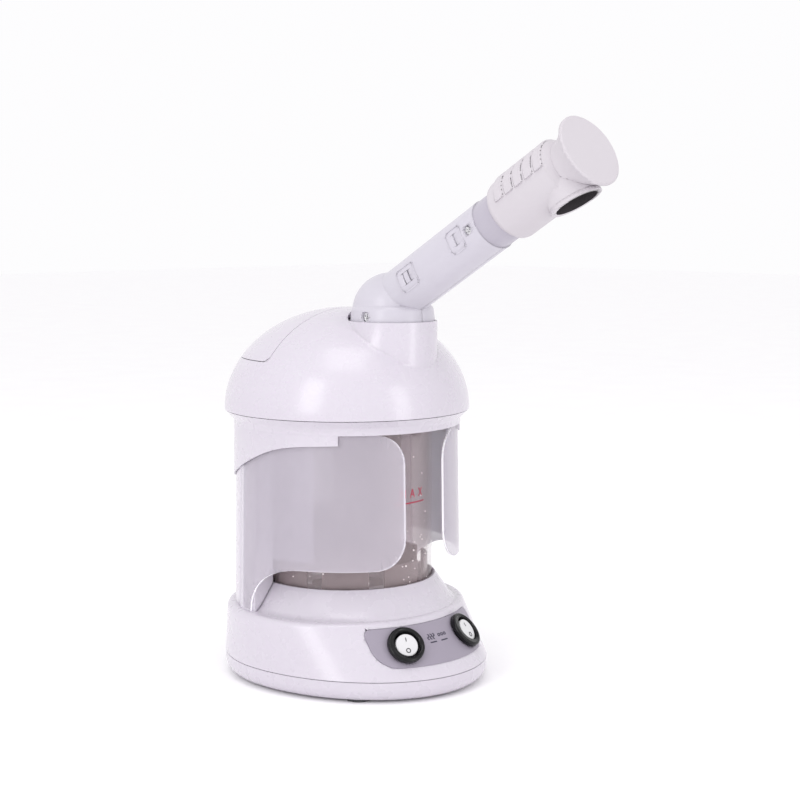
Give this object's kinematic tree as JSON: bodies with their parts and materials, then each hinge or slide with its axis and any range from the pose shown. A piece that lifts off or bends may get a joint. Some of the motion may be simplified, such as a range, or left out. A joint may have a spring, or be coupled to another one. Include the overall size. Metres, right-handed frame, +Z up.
{
  "type": "facial steamer",
  "caption": "Table-top facial steamer: egg-shaped base with rocker switches, tinted water jar, frosted guard, domed head with fill lid, and a swivelling steam arm.",
  "frame": {"origin": "centre of the base cover's flat underside, on the axis of the water jar; the rubber feet reach 1.2 mm lower", "axes": "+Z up, -Y is the front with the switches and the arm, +X to the right of a person who faces the front"},
  "size_m": [0.154, 0.2793, 0.3374],
  "materials": {
    "white_gloss": "injection moulded, high gloss",
    "panel_grey": "satin printed panel",
    "switch_black": "gloss moulded",
    "rocker_white": "satin with dark marks",
    "jar_smoke": "clear, tinted, with a printed level mark",
    "guard_frosted": "frosted, translucent",
    "arm_frosted": "frosted, translucent",
    "head_white": "fine matte texture",
    "grille_dark": "moulded",
    "guard_dark": "tinted heat-proof moulding",
    "rubber": "moulded",
    "silicone": "translucent silicone",
    "steel": "plain",
    "inner_white": "moulded",
    "brass": "stamped",
    "board_green": "coated circuit board",
    "lamp_glass": "quartz"
  },
  "bodies": {
    "housing": {"base_shell": "white_gloss", "base_cover": "white_gloss", "foot_pads": "rubber", "base_screws": "steel", "control_panel": "panel_grey", "cord_gland": "rubber", "steam_switch_body": "switch_black", "ozone_switch_body": "switch_black", "switch_terminals": "brass", "water_jar": "jar_smoke", "lower_gasket": "silicone", "upper_gasket": "silicone", "heater_plate": "steel", "heating_element": "steel", "boil_guard": "guard_dark", "thermostat": "steel", "rear_column": "white_gloss", "guard_left": "guard_frosted", "guard_right": "guard_frosted", "guard_liners": "guard_frosted", "dome_ring": "white_gloss", "dome_screws": "steel", "dome_shell": "white_gloss", "lid_hinge_pin": "steel", "fill_tray": "inner_white", "jar_cap": "inner_white", "fill_chute": "guard_frosted", "steam_riser": "inner_white", "swivel_bush": "inner_white", "lamp_holder": "inner_white", "uv_lamp": "lamp_glass", "circuit_board": "board_green"},
    "arm": {"arm_shell_left": "arm_frosted", "arm_shell_right": "arm_frosted", "arm_screws": "steel", "arm_neck": "arm_frosted", "steam_duct": "inner_white", "duct_collar": "silicone", "head_clip": "inner_white"},
    "head": {"head_shell": "head_white", "head_seal": "silicone", "grip_ribs": "head_white", "outlet_ring": "head_white", "outlet_grille": "grille_dark", "end_disk": "head_white"},
    "fill_lid": {"fill_lid": "white_gloss"},
    "steam_rocker": {"steam_rocker": "rocker_white"},
    "ozone_rocker": {"ozone_rocker": "rocker_white"}
  },
  "joints": [
    {"name": "arm_swivel", "type": "hinge", "parent": "housing", "child": "arm", "pos_m": [0, -0.0403, 0.215], "axis": [0, 0, 1], "range_deg": [-110, 110]},
    {"name": "head_turn", "type": "hinge", "parent": "arm", "child": "head", "pos_m": [0, -0.0403, 0.2315], "axis": [0, -0.866, 0.5], "continuous": true},
    {"name": "fill_lid_hinge", "type": "hinge", "parent": "housing", "child": "fill_lid", "pos_m": [0, 0.069, 0.1952], "axis": [-1, 0, 0], "range_deg": [0, 90]},
    {"name": "steam_rocker_press", "type": "hinge", "parent": "housing", "child": "steam_rocker", "pos_m": [-0.02461, -0.07447, 0.02854], "axis": [-0.9379, 0.3469, 0], "range_deg": [0, 14]},
    {"name": "ozone_rocker_press", "type": "hinge", "parent": "housing", "child": "ozone_rocker", "pos_m": [0.02461, -0.07447, 0.02854], "axis": [-0.9379, -0.3469, 0], "range_deg": [0, 14]}
  ]
}
